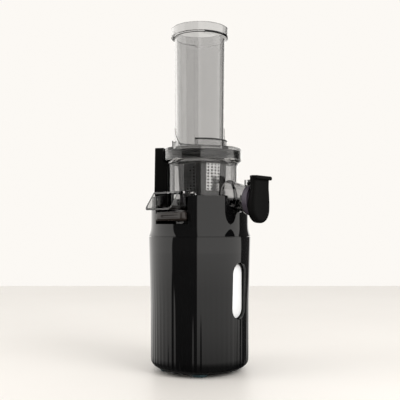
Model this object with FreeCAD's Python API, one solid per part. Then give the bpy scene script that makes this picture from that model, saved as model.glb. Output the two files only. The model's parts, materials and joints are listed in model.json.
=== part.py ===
import FreeCAD, Part
import math
import os

# Upright cold press juicer. Millimetres, +Z up, the juice spout and the control face -Y.
# The origin is on the base's axis at the level of the table.

Vector = FreeCAD.Vector
Z_AXIS = Vector(0, 0, 1)

# Base
foot_height = 4.1
foot_radius = 8.9
foot_circle = 36.8
foot_angle = 51.0
base_wall = 2.6
base_bottom_radius = 51.8
base_low_radius = 56.0
base_mid_radius = 56.4
base_mid = 76.0
base_top_radius = 58.5
base_top = 152.0
flute_count = 60
flute_low = 7.0
flute_top = 116.0
flute_depth = 1.0
flute_width = 4.6
neck_radius = 55.8
neck_top = 196.9
deck_top = 166.0
deck_thickness = 3.0

# Drive line, bowl, strainer and auger stand on this axis, a little in front of the base's axis
bowl_offset = 4.2
bowl_axis = Vector(0, -bowl_offset, 0)

# Control recess
rocker_width = 22.4
rocker_height = 61.2
rocker_centre = 92.8
rocker_face = -50.2
rocker_thickness = 2.6
recess_gap = 0.6
pivot_radius = 1.0

# Gear train
teeth_big = 48
teeth_small = 12
module_1 = 0.7
module_2 = 0.8
module_3 = 1.0
backlash = 0.30
tooth_clearance = 0.30
running_gap = 0.05
reach_1 = module_1 * (teeth_big + teeth_small) / 2
reach_2 = module_2 * (teeth_big + teeth_small) / 2
reach_3 = module_3 * (teeth_big + teeth_small) / 2

# Bowl and lid
bowl_radius = 39.8
bowl_wall = 2.4
bowl_foot = 166.4
bowl_floor = 178.0
bowl_floor_thickness = 2.6
flare_low = 231.2
flare_high = 237.4
rim_radius = 41.2
rim_top = 246.0
lid_radius = 44.3
lid_low = 238.8
lid_plate = 248.3
lid_top = 251.5
collar_radius = 31.6
collar_inner = 30.2
collar_top = 261.0

# Spouts: pulp_turn is measured from the front towards -X
spout_radius = 15.5
spout_wall = 2.4
spout_root = 34.0
spout_root_height = 199.5
spout_mouth = 70.8
spout_mouth_height = 192.0
pulp_turn = 96.0
pulp_width = 36.0
pulp_wall = 2.0
pulp_low = 181.0
pulp_high = 201.0
pulp_top_reach = 58.0
pulp_lip_reach = 72.0
tower_turn = 154.0
tower_width = 21.0
tower_top = 254.0

# Strainer and auger
strainer_low = 182.4
strainer_high = 238.0
strainer_low_radius = 25.9
strainer_high_radius = 28.8
window_count = 6
window_turn = 25.0
window_arc = 37.0
window_low = 203.0
window_top = 234.6
hole_columns = 3
hole_rows = 6
hole_size = 2.6
auger_low = 183.0
auger_high = 237.0
hub_radius = 10.0
hex_flats = 10.0
deck_screw_reach = 30.0
sector_reach = 60.0

# Feed tube
tube_low = 252.3
tube_low_radius = 27.9
tube_high_radius = 29.1
tube_wall = 2.2
hopper_low = 377.5
hopper_radius = 32.6
tube_top = 389.6

# Hinge of the juice cap
hinge_height = 211.4
hinge_back = 3.0


def cylinder(radius, low, high, centre=Vector(0, 0, 0)):
    return Part.makeCylinder(radius, high - low, Vector(centre.x, centre.y, low), Z_AXIS)


def ring(outer, inner, low, high, centre=Vector(0, 0, 0)):
    return cylinder(outer, low, high, centre).cut(cylinder(inner, low - 1, high + 1, centre))


def bar(x_low, x_high, y_low, y_high, z_low, z_high):
    corner = Vector(x_low, y_low, z_low)
    return Part.makeBox(x_high - x_low, y_high - y_low, z_high - z_low, corner)


def turned(shape, turn, centre=Vector(0, 0, 0)):
    """Turn a piece made facing the front by an angle towards -X."""
    copy = shape.copy()
    copy.rotate(centre, Z_AXIS, -turn)
    return copy


def moved(shape, x, y, z):
    copy = shape.copy()
    copy.translate(Vector(x, y, z))
    return copy


def lathe(points, centre=Vector(0, 0, 0)):
    """Revolve a closed outline of (radius, height) points; a pair of points is an arc's middle and end."""
    def place(point):
        return Vector(centre.x + point[0], centre.y, point[1])
    edges = []
    here = place(points[0])
    for step in points[1:] + [points[0]]:
        if isinstance(step[0], tuple):
            end = place(step[1])
            edges.append(Part.Arc(here, place(step[0]), end).toShape())
        else:
            end = place(step)
            edges.append(Part.makeLine(here, end))
        here = end
    return Part.Face(Part.Wire(edges)).revolve(centre, Z_AXIS, 360)


def pill(width, height, y_low, y_high, middle):
    """A flat-sided pill standing in the XZ plane, extruded along Y."""
    radius = width / 2
    straight = height - width
    shape = bar(-radius, radius, y_low, y_high, middle - straight / 2, middle + straight / 2)
    for end in (-1, 1):
        foot = Vector(0, y_low, middle + end * straight / 2)
        shape = shape.fuse(Part.makeCylinder(radius, y_high - y_low, foot, Vector(0, 1, 0)))
    return shape.removeSplitter()


def hexagon(flats, low, high, centre):
    corner = flats / math.sqrt(3)
    points = []
    for side in range(7):
        angle = math.radians(60 * side)
        points.append(Vector(centre.x + corner * math.cos(angle), centre.y + corner * math.sin(angle), low))
    return Part.Face(Part.makePolygon(points)).extrude(Vector(0, 0, high - low))


def around(shape, count, centre=Vector(0, 0, 0), start=0.0):
    """Copies of one piece, evenly spaced about a vertical axis."""
    return [turned(shape, start + 360.0 * step / count, centre) for step in range(count)]


def screw(x, y, head_low, length, up=True):
    """A pan-head screw; its shank points up, or down."""
    way = 1 if up else -1
    head = Part.makeCylinder(2.6, 1.8, Vector(x, y, head_low), Vector(0, 0, way))
    shank = Part.makeCylinder(1.2, length, Vector(x, y, head_low + way * 1.8), Vector(0, 0, way))
    return head.fuse(shank)


def save(name, shape):
    if not shape.isValid():
        print("not valid:", name)
    shape.exportStep("parts/" + name + ".step")
    print(name, len(shape.Solids), round(shape.Volume))


def feet_places():
    """One foot in the middle, whose face holds the origin, and four round the edge."""
    places = [Vector(0, 0, 0)]
    for angle in (foot_angle, -foot_angle, 180 - foot_angle, 180 + foot_angle):
        places.append(Vector(-foot_circle * math.sin(math.radians(angle)),
                             -foot_circle * math.cos(math.radians(angle)), 0))
    return places


def wall_radius(height):
    """Outside of the base: nearly straight up to the middle, then it opens towards the shoulder."""
    if height < base_mid:
        return base_low_radius + (base_mid_radius - base_low_radius) * (height - 12.0) / (base_mid - 12.0)
    return base_mid_radius + (base_top_radius - base_mid_radius) * (height - base_mid) / (base_top - base_mid)


def flute_tool():
    """One flute facing the front: a shallow vee with a flat floor, deepest at the foot, gone at its top."""
    stations = [(flute_low - 4, flute_depth + 0.1), (base_mid, flute_depth * 0.45), (flute_top, 0.0)]
    pieces = []
    for (low, low_depth), (high, high_depth) in zip(stations[:-1], stations[1:]):
        sections = []
        for height, depth in ((low, low_depth), (high, high_depth)):
            floor = wall_radius(height) - depth
            rise = 2.0
            half_floor = flute_width * 0.13
            half_mouth = half_floor + rise * 1.55
            sections.append(Part.makePolygon([
                Vector(-half_floor, -floor, height), Vector(half_floor, -floor, height),
                Vector(half_mouth, -floor - rise, height), Vector(-half_mouth, -floor - rise, height),
                Vector(-half_floor, -floor, height)]))
        pieces.append(Part.makeLoft(sections, True, True))
    return pieces[0].fuse(pieces[1:])


def base_housing():
    wall = base_wall
    outer = [(0, foot_height), (base_bottom_radius, foot_height), ((54.5, 6.4), (base_low_radius, 12.0)),
             (base_mid_radius, base_mid), (base_top_radius, base_top), (0, base_top)]
    inner = [(0, 3.0), (49.0, 3.0), (49.0, 7.4), (51.6, 7.4), (base_low_radius - wall, 13.0),
             (base_mid_radius - wall, base_mid), (55.0, 132.0), (50.4, 138.0), (50.4, 145.6),
             (55.9, 145.6), (55.9, 153.0), (0, 153.0)]
    shell = lathe(outer).cut(lathe(inner))
    shell = shell.cut(around(flute_tool(), flute_count, start=3.0))
    recess = pill(rocker_width + 2 * recess_gap, rocker_height + 2 * recess_gap, -70, -40, rocker_centre)
    shell = shell.cut(recess)
    gland = Part.makeCylinder(6.1, 30, Vector(0, 40, 22), Vector(0, 1, 0))
    shell = shell.cut(gland)
    return shell.cut(around(cylinder(1.3, 137, 147, Vector(0, -52.2, 0)), 4, start=45.0))


def neck_shroud():
    outer = [(0, 149.2), (55.5, 149.2), (55.5, 152.4), (58.5, 152.4), ((56.7, 155.4), (neck_radius, 160.0)),
             (neck_radius, neck_top - 0.8), (neck_radius - 0.8, neck_top), (0, neck_top)]
    shell = lathe(outer)
    shell = shell.cut(cylinder(53.2, 144, deck_top - deck_thickness))
    # Four screws under the bowl hold the deck down on the gearbox cover's posts.
    seat = moved(cylinder(2.9, 164.2, 167).fuse(cylinder(1.3, 160, 167)), 0, -deck_screw_reach - bowl_offset, 0)
    shell = shell.cut(around(seat, 4, bowl_axis, 45.0))
    shell = shell.cut(cylinder(53.2, deck_top, 200))
    shell = shell.cut(cylinder(19.2, 160, 170, bowl_axis))
    # The round notch lets the juice spout through, the square one the pulp spout and its plug.
    notch = Part.makeCylinder(17.2, 30, Vector(0, -70, 196), Vector(0, 1, 0))
    notch = notch.fuse(bar(-17.2, 17.2, -70, -40, 196, 200))
    shell = shell.cut(notch)
    gap = bar(-19.2, 19.2, -70, -36, deck_top, 200)
    shell = shell.cut(turned(moved(gap, 0, -bowl_offset, 0), pulp_turn, bowl_axis))
    return shell


def interlock_tower():
    """Post behind the bowl; its inner face follows the bowl's wall, flare and lid."""
    half = tower_width / 2
    shape = bar(-half, half, -60, -30, deck_top, tower_top)
    edges = [edge for edge in shape.Edges
             if abs(edge.Vertexes[0].Z - edge.Vertexes[1].Z) > 1]
    shape = shape.makeFillet(3.0, edges)
    outline = [(0, deck_top), (52.9, deck_top), (51.4, tower_top - 5), ((50.0, tower_top - 1.5), (46.6, tower_top)),
               (0, tower_top)]
    shape = turned(shape, tower_turn).common(lathe(outline))
    clear = [(0, deck_top - 1), (bowl_radius + 1.0, deck_top - 1), (bowl_radius + 1.0, flare_low),
             (lid_radius + 1.0, flare_high + 1.0), (lid_radius + 1.0, tower_top + 1), (0, tower_top + 1)]
    shape = shape.cut(lathe(clear, bowl_axis))
    pocket = turned(bar(-2.6, 2.6, -50.2, -47.2, 236, 250), tower_turn)
    return shape.cut(pocket)


def reed_switch():
    """Glass reed contact in the tower, worked by the magnet in the lid."""
    axis = turned(bar(-1, 1, -49, -48, 0, 1), tower_turn).CenterOfMass
    body = Part.makeCylinder(1.2, 10, Vector(axis.x, axis.y, 238), Z_AXIS)
    return body.fuse(Part.makeCylinder(0.4, 13, Vector(axis.x, axis.y, 236.5), Z_AXIS))


def bottom_cover():
    plate = cylinder(48.7, foot_height, 7.1)
    for place in feet_places():
        plate = plate.cut(cylinder(6.1, foot_height - 1, 5.6, place))
    slot = bar(-1.5, 1.5, -24, -10, 3, 8)
    plate = plate.cut(around(slot, 12))
    posts = []
    for side in (-1, 1):
        post = bar(side * 26.0 - 2.5, side * 26.0 + 2.5, 33.0, 39.0, 7.1, 62)
        post = post.cut(bar(min(side * 22, side * 26.2), max(side * 22, side * 26.2), 35.0, 37.0, 12, 63))
        posts.append(post)
    plate = plate.fuse(posts)
    holes = cylinder(1.3, 3, 8, Vector(0, -45.2, 0)).fuse(cylinder(2.9, 3, 5.2, Vector(0, -45.2, 0)))
    return plate.cut(around(holes, 4))


def bottom_frame():
    """Screw ring inside the housing's foot that the bottom cover is screwed to."""
    frame = ring(51.2, 41.6, 7.5, 11.0)
    frame = frame.cut(around(cylinder(1.3, 6, 12, Vector(0, -45.2, 0)), 4))
    for side in (-1, 1):
        frame = frame.cut(bar(side * 26.0 - 3.2, side * 26.0 + 3.2, 30.0, 39.6, 6, 12))
    return frame


def rubber_feet():
    feet = []
    for place in feet_places():
        foot = lathe([(0, 0), (foot_radius - 0.8, 0), (foot_radius, 0.8), (foot_radius - 0.3, foot_height),
                      (6.0, foot_height), (6.0, 5.5), (0, 5.5)], place)
        feet.append(foot)
    return Part.Compound(feet)


def switch_bezel():
    outer = pill(rocker_width + 2 * recess_gap + 3.6, rocker_height + 2 * recess_gap + 3.6, -56, -43, rocker_centre)
    inner = pill(rocker_width + 2 * recess_gap, rocker_height + 2 * recess_gap, -57, -42, rocker_centre)
    shape = outer.cut(inner).common(cylinder(53.2, 50, 140))
    pin = Part.makeCylinder(pivot_radius, 30, Vector(-15, pivot_y(), rocker_centre), Vector(1, 0, 0))
    return shape.cut(pin)


def pivot_y():
    return rocker_face + rocker_thickness + 1.4


def rocker_switch():
    plate = pill(rocker_width, rocker_height, rocker_face, rocker_face + rocker_thickness, rocker_centre)
    edges = [edge for edge in plate.Edges
             if all(abs(vertex.Y - rocker_face) < 0.01 for vertex in edge.Vertexes)]
    plate = plate.makeChamfer(0.5, edges)
    hub = Part.makeCylinder(2.6, 18, Vector(-9, pivot_y(), rocker_centre), Vector(1, 0, 0))
    stem = bar(-3, 3, pivot_y(), pivot_y() + 5.6, rocker_centre - 2, rocker_centre + 2)
    bore = Part.makeCylinder(pivot_radius + running_gap, 30, Vector(-15, pivot_y(), rocker_centre),
                             Vector(1, 0, 0))
    return plate.fuse([hub, stem]).cut(bore)


def rocker_pin():
    return Part.makeCylinder(pivot_radius, 27, Vector(-13.5, pivot_y(), rocker_centre), Vector(1, 0, 0))


def switch_body():
    flange = pill(rocker_width + 4.2, rocker_height + 4.2, -43, -41.4, rocker_centre)
    box = bar(-8, 8, -41.4, -33, rocker_centre - 14, rocker_centre + 14)
    slot = bar(-4.5, 4.5, -44, -38.5, rocker_centre - 5, rocker_centre + 5)
    return flange.fuse(box).cut(slot)


def power_board():
    board = bar(-26, 26, 35.2, 36.8, 13, 80)
    relay = bar(-20, -6, 27, 35.2, 55, 72)
    capacitor = Part.makeCylinder(5, 20, Vector(8, 30.5, 50), Z_AXIS)
    return board.fuse([relay, capacitor.fuse(bar(4, 12, 30.5, 35.2, 52, 68))])


def cord_gland():
    """Bush in the rear wall that the mains lead comes in through."""
    def barrel(radius, low, high):
        return Part.makeCylinder(radius, high - low, Vector(0, low, 22), Vector(0, 1, 0))
    body = barrel(6.0, 49.0, 59.0).fuse([barrel(8.0, 57.0, 59.5), barrel(7.6, 49.0, 51.2)])
    return body.cut(barrel(3.6, 40, 70))


def motor_can():
    can = ring(25, 23.6, 36, 97, bowl_axis).fuse(cylinder(25, 96, 99, bowl_axis))
    can = can.cut([cylinder(1.3, 95, 100, place) for place in motor_screw_places()])
    return can.cut(cylinder(6.0, 90, 100, bowl_axis))


def stator_magnets():
    arc = ring(23.4, 19.6, 48, 88, bowl_axis)
    gap = bar(-30, 30, -11.2, 2.8, 40, 95)
    return arc.cut(gap)


def motor_end_cap():
    cap = cylinder(25, 31, 36, bowl_axis).cut(cylinder(6.0, 30, 37, bowl_axis))
    for side in (-1, 1):
        holder = bar(min(side * 9, side * 18), max(side * 9, side * 18), -8.2, -0.2, 36, 44)
        slot = bar(min(side * 8, side * 19), max(side * 8, side * 19), -6.7, -1.7, 38, 43)
        cap = cap.fuse(holder.cut(slot))
    return cap


def carbon_brushes():
    brushes = []
    for side in (-1, 1):
        brush = bar(min(side * 5.0, side * 16), max(side * 5.0, side * 16), -6.6, -1.8, 38.2, 42.8)
        brushes.append(brush.cut(cylinder(6.5, 37, 44, bowl_axis)))
    return Part.Compound(brushes)


def motor_bushes():
    inner = 2.5 + running_gap
    return Part.Compound([ring(6.0, inner, 30, 36, bowl_axis), ring(6.0, inner, 93, 99, bowl_axis)])


def motor_shaft():
    return cylinder(2.5, 14.0, 113.0, bowl_axis)


def armature_core():
    core = cylinder(18.8, 48, 88, bowl_axis)
    slot = bar(-1.2, 1.2, -19 - bowl_offset, -12 - bowl_offset, 47, 89)
    core = core.cut(around(slot, 8, bowl_axis))
    return core.cut(cylinder(2.5, 40, 90, bowl_axis))


def armature_windings():
    coils = []
    for low, high in ((44.4, 48.0), (88.0, 91.6)):
        coils.append(lathe([(2.6, low + 0.4), (12, low), (16.4, low + 1.2), (16.4, high), (2.6, high)], bowl_axis))
    return Part.Compound(coils)


def commutator():
    return ring(6.2, 2.5, 37.0, 44.0, bowl_axis)


def motor_fan():
    hub = cylinder(7, 14.5, 27.0, bowl_axis).fuse(cylinder(22, 25.5, 27.0, bowl_axis))
    blade = bar(-0.8, 0.8, -21.5 - bowl_offset, -6 - bowl_offset, 17.0, 26.0)
    hub = hub.fuse(around(blade, 9, bowl_axis))
    return hub.cut(cylinder(2.5, 10, 30, bowl_axis))


def gear(teeth, module, low, high, bore, centre, turn=0.0):
    """Spur gear; each flank is two chords of the true involute, thinned by half the backlash."""
    pitch = module * teeth / 2
    base = pitch * math.cos(math.radians(20))
    tip = pitch + module * 0.95
    root = pitch - module - tooth_clearance
    half_tooth = math.pi / (2 * teeth) - backlash / (2 * pitch)

    def flank_angle(radius):
        def involute(angle):
            return math.tan(angle) - angle
        at_radius = math.acos(min(1.0, base / radius))
        return half_tooth + involute(math.radians(20)) - involute(at_radius)

    radii = [root, max(base, root + 0.2), pitch + module * 0.2, tip]
    points = []
    for tooth in range(teeth):
        middle = 2 * math.pi * tooth / teeth + math.radians(turn)
        for side in (-1, 1):
            order = radii if side < 0 else radii[::-1]
            for radius in order:
                angle = middle + side * flank_angle(radius)
                points.append(Vector(centre.x + radius * math.cos(angle),
                                     centre.y + radius * math.sin(angle), low))
    points.append(points[0])
    blank = Part.Face(Part.makePolygon(points)).extrude(Vector(0, 0, high - low))
    return blank.cut(cylinder(bore, low - 1, high + 1, centre))


def gear_centres():
    """Both idler axles: the second behind the drive axis, the first where its two meshes meet."""
    second = Vector(0, reach_3 - bowl_offset, 0)
    cosine = (reach_1 ** 2 + reach_3 ** 2 - reach_2 ** 2) / (2 * reach_1 * reach_3)
    angle = math.acos(cosine)
    first = Vector(reach_1 * math.sin(angle), reach_1 * math.cos(angle) - bowl_offset, 0)
    return first, second


def mesh_turn(driver, driven, driver_teeth, driven_teeth, driver_turn):
    """Turn of the driven gear that puts one of its gaps on a tooth of the driver."""
    line = math.degrees(math.atan2(driven.y - driver.y, driven.x - driver.x))
    phase = (line - driver_turn) * driver_teeth
    driven_line = line + 180
    return driven_line + (phase + 180.0) / driven_teeth


def gear_turns():
    first, second = gear_centres()
    turn_first = mesh_turn(bowl_axis, first, teeth_small, teeth_big, 0.0)
    turn_second = mesh_turn(first, second, teeth_small, teeth_big, 0.0)
    turn_output = mesh_turn(second, bowl_axis, teeth_small, teeth_big, 0.0)
    return turn_first, turn_second, turn_output


def motor_pinion():
    return gear(teeth_small, module_1, 104.6, 112.6, 2.5, bowl_axis)


def first_reduction_gear():
    first = gear_centres()[0]
    bore = 2.0 + running_gap
    wheel = gear(teeth_big, module_1, 105.6, 111.6, bore, first, gear_turns()[0])
    wheel = wheel.cut(ring(13.6, 6.6, 109.6, 112, first))
    boss = ring(3.2, bore, 104.4, 112, first)
    return wheel.fuse([gear(teeth_small, module_2, 111.6, 122.0, bore, first), boss])


def second_reduction_gear():
    second = gear_centres()[1]
    bore = 2.5 + running_gap
    wheel = gear(teeth_big, module_2, 114.0, 121.2, bore, second, gear_turns()[1])
    wheel = wheel.cut(ring(15.8, 8.2, 119.0, 122, second))
    boss = ring(5.0, bore, 104.4, 115, second)
    return wheel.fuse([gear(teeth_small, module_3, 121.2, 137.0, bore, second), boss])


def output_gear():
    wheel = gear(teeth_big, module_3, 124.6, 136.0, 5.0, bowl_axis, gear_turns()[2])
    return wheel.cut(ring(19.6, 9.6, 132.0, 137, bowl_axis))


def gear_axle_pins():
    first, second = gear_centres()
    return Part.Compound([cylinder(2.0, 100.5, 123.4, first), cylinder(2.5, 100.5, 149.0, second)])


def gearbox_base():
    cup = cylinder(49.8, 99.0, 145.6).cut(cylinder(47.4, 103.6, 147))
    # The wall steps in behind the control recess.
    flat = bar(-16, 16, -60, -31.6, 98, 128.5)
    shelf = bar(-18.4, 18.4, -50, -29.2, 99.0, 130.9).common(cylinder(49.8, 99.0, 146.0))
    cup = cup.fuse(shelf).cut(flat)
    first, second = gear_centres()
    cup = cup.cut([cylinder(2.0, 100.5, 110, first), cylinder(2.5, 100.5, 110, second)])
    cup = cup.cut(cylinder(8.0, 98, 104, bowl_axis))
    for hole in motor_screw_places():
        cup = cup.cut(cylinder(1.3, 97, 105, hole))
    return cup


def motor_screw_places():
    return [Vector(12.0 * math.cos(math.radians(angle)), 12.0 * math.sin(math.radians(angle)) - bowl_offset, 0)
            for angle in (135, 225, 315)]


def motor_screws():
    return Part.Compound([screw(place.x, place.y, 105.4, 7.2, up=False) for place in motor_screw_places()])


def gearbox_cover():
    lid = cylinder(55.4, 145.6, 149.0).fuse(cylinder(18.6, 149.0, 169.6, bowl_axis))
    lid = lid.cut(cylinder(5.5, 140, 170, bowl_axis))
    lid = lid.cut([cylinder(11.0, 140, 152.2, bowl_axis), cylinder(11.0, 162.0, 169.9, bowl_axis)])
    lid = lid.cut(cylinder(2.5, 145, 150, gear_centres()[1]))
    lid = lid.cut(around(cylinder(1.3, 145, 150, Vector(0, -52.2, 0)).fuse(
        cylinder(2.9, 147.0, 150, Vector(0, -52.2, 0))), 4, start=45.0))
    post = cylinder(3.8, 148.5, deck_top - deck_thickness, Vector(0, -deck_screw_reach - bowl_offset, 0))
    post = post.cut(cylinder(1.3, 152, 170, Vector(0, -deck_screw_reach - bowl_offset, 0)))
    lid = lid.fuse(around(post, 4, bowl_axis, 45.0))
    return lid.cut(cylinder(14.0, 167.4, 170, bowl_axis))


def gearbox_screws():
    """Four screws through the gearbox cover into the housing's ledge."""
    return Part.Compound(around(screw(0, -52.2, 149.0, 7.4, up=False), 4, start=45.0))


def neck_screws():
    """Four screws from the deck down into the posts of the gearbox cover."""
    one = screw(0, -deck_screw_reach - bowl_offset, 166.0, 8.0, up=False)
    return Part.Compound(around(one, 4, bowl_axis, 45.0))


def shaft_bearings():
    def bearing(low):
        outer = ring(11.0, 9.0, low, low + 5, bowl_axis)
        inner = ring(6.8, 5.0 + running_gap, low, low + 5, bowl_axis)
        web = ring(9.0, 6.8, low + 0.8, low + 4.2, bowl_axis)
        return outer.fuse([inner, web])
    return Part.Compound([bearing(147.0), bearing(162.2)])


def shaft_seal():
    body = lathe([(5.2, 167.6), (13.9, 167.6), (13.9, 170.4), (9.0, 170.4), (6.4, 171.6), (5.2, 171.6)], bowl_axis)
    return body


def drive_shaft():
    shaft = cylinder(5.0, 122.6, 176.0, bowl_axis)
    head = hexagon(hex_flats, 176.0, 196.0, bowl_axis)
    tip = lathe([(0, 170.0), (8, 170.0), (8, 193.6), (3.6, 196.0), (0, 196.0)], bowl_axis)
    return shaft.fuse(head.common(tip))


def bottom_screws():
    return Part.Compound(around(screw(0, -45.2, 3.4, 5.6), 4))


def duct(width, low, high, inside):
    """Pulp duct facing the front: its mouth is cut on a slant and its lower corners are rounded."""
    half = width / 2
    reach = pulp_lip_reach + inside
    shape = bar(-half, half, -reach, -(bowl_radius - 6), low, high)
    edges = [edge for edge in shape.Edges
             if all(abs(vertex.Z - low) < 0.01 for vertex in edge.Vertexes)
             and abs(edge.Vertexes[0].Y - edge.Vertexes[1].Y) > 1]
    return moved(shape.makeFillet(5.0, edges), 0, -bowl_offset, 0)


def juice_bowl():
    wall = bowl_wall
    outer = [(0, bowl_foot), (bowl_radius - 0.6, bowl_foot), (bowl_radius, bowl_foot + 0.6),
             (bowl_radius, flare_low), ((41.4, 234.6), (lid_radius, flare_high)), (lid_radius, lid_low - 0.4),
             (rim_radius, lid_low - 0.4), (rim_radius, rim_top), (0, rim_top)]
    body = lathe(outer, bowl_axis)
    # Round spout
    root = Vector(0, -bowl_offset - spout_root, spout_root_height)
    mouth = Vector(0, -bowl_offset - spout_mouth, spout_mouth_height)
    way = mouth.sub(root)
    length = way.Length + 6
    spout = Part.makeCylinder(spout_radius, length, root, way)
    flange = Part.makeCylinder(spout_radius + 0.5, 9, Vector(0, mouth.y + 6, mouth.z), Vector(0, -1, 0))
    spout = spout.fuse(flange)
    spout = spout.cut(bar(-30, 30, mouth.y - 40, mouth.y, 150, 240))
    lugs = [bar(side * 6.5 - 2.0, side * 6.5 + 2.0, mouth.y, mouth.y + 6.4, 204.5, 213.4) for side in (-1, 1)]
    # Pulp duct
    chute = duct(pulp_width, pulp_low, pulp_high, 0)
    slant = Part.Face(Part.makePolygon([
        Vector(-40, -bowl_offset - pulp_top_reach, pulp_high + 0.1),
        Vector(-40, -bowl_offset - pulp_lip_reach, pulp_low - 0.1),
        Vector(-40, -bowl_offset - pulp_lip_reach - 5, pulp_low - 0.1),
        Vector(-40, -bowl_offset - pulp_lip_reach - 5, pulp_high + 0.1),
        Vector(-40, -bowl_offset - pulp_top_reach, pulp_high + 0.1)])).extrude(Vector(80, 0, 0))
    chute = turned(chute.cut(slant), pulp_turn, bowl_axis)
    plug_port = bar(-16, 16, -bowl_radius - bowl_offset - 0.5, -28 - bowl_offset, 168.6, 177.6)
    body = body.fuse([spout, chute] + lugs)
    hollow = [(0, bowl_floor + bowl_floor_thickness), (bowl_radius - wall, bowl_floor + bowl_floor_thickness),
              (bowl_radius - wall, flare_low), (rim_radius - wall, flare_low + 5.0), (rim_radius - wall, rim_top + 1),
              (0, rim_top + 1)]
    body = body.cut(lathe(hollow, bowl_axis))
    body = body.cut(cylinder(bowl_radius - wall, bowl_foot - 1, bowl_floor, bowl_axis))
    bore = Part.makeCylinder(spout_radius - spout_wall, length + 20, root, way)
    body = body.cut(bore)
    inner = turned(duct(pulp_width - 2 * pulp_wall, pulp_low + pulp_wall, pulp_high - pulp_wall, 3),
                   pulp_turn, bowl_axis)
    body = body.cut([inner, turned(plug_port, pulp_turn, bowl_axis)])
    # Hub round the drive shaft
    body = body.fuse(cylinder(hub_radius, bowl_foot + 8, 186.0, bowl_axis))
    body = body.cut(cylinder(7.6, 160, 190, bowl_axis))
    pin = Part.makeCylinder(1.2, 20, Vector(-10, mouth.y + hinge_back, hinge_height), Vector(1, 0, 0))
    return body.cut(pin)


def mouth_y():
    return -bowl_offset - spout_mouth


def cap_pin():
    return Part.makeCylinder(1.2, 17.6, Vector(-8.8, mouth_y() + hinge_back, hinge_height), Vector(1, 0, 0))


def juice_cap():
    """Teardrop cap with a thumb tab above its hinge."""
    front = mouth_y() - 7.6
    back = mouth_y() - 1.4
    edges = [
        Part.Arc(Vector(-11.2, back, 206.0), Vector(-15.4, back, 188.0), Vector(-14.6, back, 179.0)).toShape(),
        Part.Arc(Vector(-14.6, back, 179.0), Vector(0, back, 167.4), Vector(14.6, back, 179.0)).toShape(),
        Part.Arc(Vector(14.6, back, 179.0), Vector(15.4, back, 188.0), Vector(11.2, back, 206.0)).toShape(),
        Part.makeLine(Vector(11.2, back, 206.0), Vector(12.4, back, 216.4)),
        Part.makeLine(Vector(12.4, back, 216.4), Vector(-12.4, back, 216.4)),
        Part.makeLine(Vector(-12.4, back, 216.4), Vector(-11.2, back, 206.0))]
    body = Part.Face(Part.Wire(edges)).extrude(Vector(0, front - back, 0))
    rounded = [edge for edge in body.Edges if all(abs(vertex.Y - front) < 0.01 for vertex in edge.Vertexes)]
    body = body.makeChamfer(1.6, rounded)
    tab = bar(-12.6, 12.6, front - 3.4, back, 214.2, 218.2)
    knuckle = Part.makeCylinder(2.5, 8.0, Vector(-4.0, mouth_y() + hinge_back, hinge_height), Vector(1, 0, 0))
    arm = bar(-4.0, 4.0, back - 1, mouth_y() + hinge_back, 209.8, 213.6)
    body = body.fuse([tab, knuckle, arm])
    bore = Part.makeCylinder(1.2 + running_gap, 20, Vector(-10, mouth_y() + hinge_back, hinge_height), Vector(1, 0, 0))
    pocket = Part.makeCylinder(13.8, 1.2, Vector(0, back - 1.2, spout_mouth_height), Vector(0, 1, 0))
    return body.cut([bore, pocket])


def cap_seal():
    """Silicone disc in the cap that closes the spout's mouth."""
    back = mouth_y() - 1.4
    plate = Part.makeCylinder(13.7, 2.2, Vector(0, back - 1.2, spout_mouth_height), Vector(0, 1, 0))
    return plate


def pulp_plug():
    """Soft plug: a tongue fills the port below the pulp spout, the bar outside is the pull."""
    handle = bar(-17, 17, -66.0, -57.4, 169.4, 179.4)
    for side in (-1, 1):
        handle = handle.fuse(bar(side * 17 - 5, side * 17 + 5, -65.0, -58.0, 170.4, 178.4))
    tongue = bar(-15.5, 15.5, -58.0, -36.0, 169.0, 177.2)
    groove = bar(-11, 11, -70, -63.6, 172.6, 176.2)
    plug = handle.fuse(tongue).cut(groove)
    return turned(moved(plug, 0, -bowl_offset, 0), pulp_turn, bowl_axis)


def strainer_wall(outset, inset, low, high):
    """Conical wall of the strainer between two heights, grown or shrunk from its outside."""
    slope = (strainer_high_radius - strainer_low_radius) / (strainer_high - strainer_low)

    def radius(height):
        return strainer_low_radius + slope * (height - strainer_low)
    return lathe([(radius(low) - inset, low), (radius(low) + outset, low), (radius(high) + outset, high),
                  (radius(high) - inset, high)], bowl_axis)


def sector(low, high, arc, centre_y=0.0):
    """Wedge that faces the front, an arc of so many degrees about an upright axis."""
    half = math.radians(arc / 2)
    across = sector_reach * math.sin(half)
    front = centre_y - sector_reach * math.cos(half)
    corners = [Vector(0, centre_y, low), Vector(-across, front, low), Vector(across, front, low),
               Vector(0, centre_y, low)]
    return Part.Face(Part.makePolygon(corners)).extrude(Vector(0, 0, high - low))


def strainer_frame():
    frame = strainer_wall(0, 2.2, strainer_low, strainer_high)
    rim = ring(strainer_high_radius + 1.2, strainer_high_radius - 2.2, strainer_high - 2.4, strainer_high, bowl_axis)
    foot = ring(strainer_low_radius + 0.2, 12.0, bowl_floor + bowl_floor_thickness, 182.6, bowl_axis)
    frame = frame.fuse([rim, foot])
    window = sector(window_low, window_top, window_arc, -bowl_offset)
    windows = around(window, window_count, bowl_axis, window_turn)
    frame = frame.cut([wedge.common(strainer_wall(1, 4, window_low - 1, window_top + 1.4)) for wedge in windows])
    # Ports at the foot: juice runs to the round spout, pulp is pushed out to the square one.
    outlet = bar(-9, 9, -40 - bowl_offset, -15 - bowl_offset, 184.0, 197.0)
    return frame.cut([turned(outlet, pulp_turn, bowl_axis)])


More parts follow.
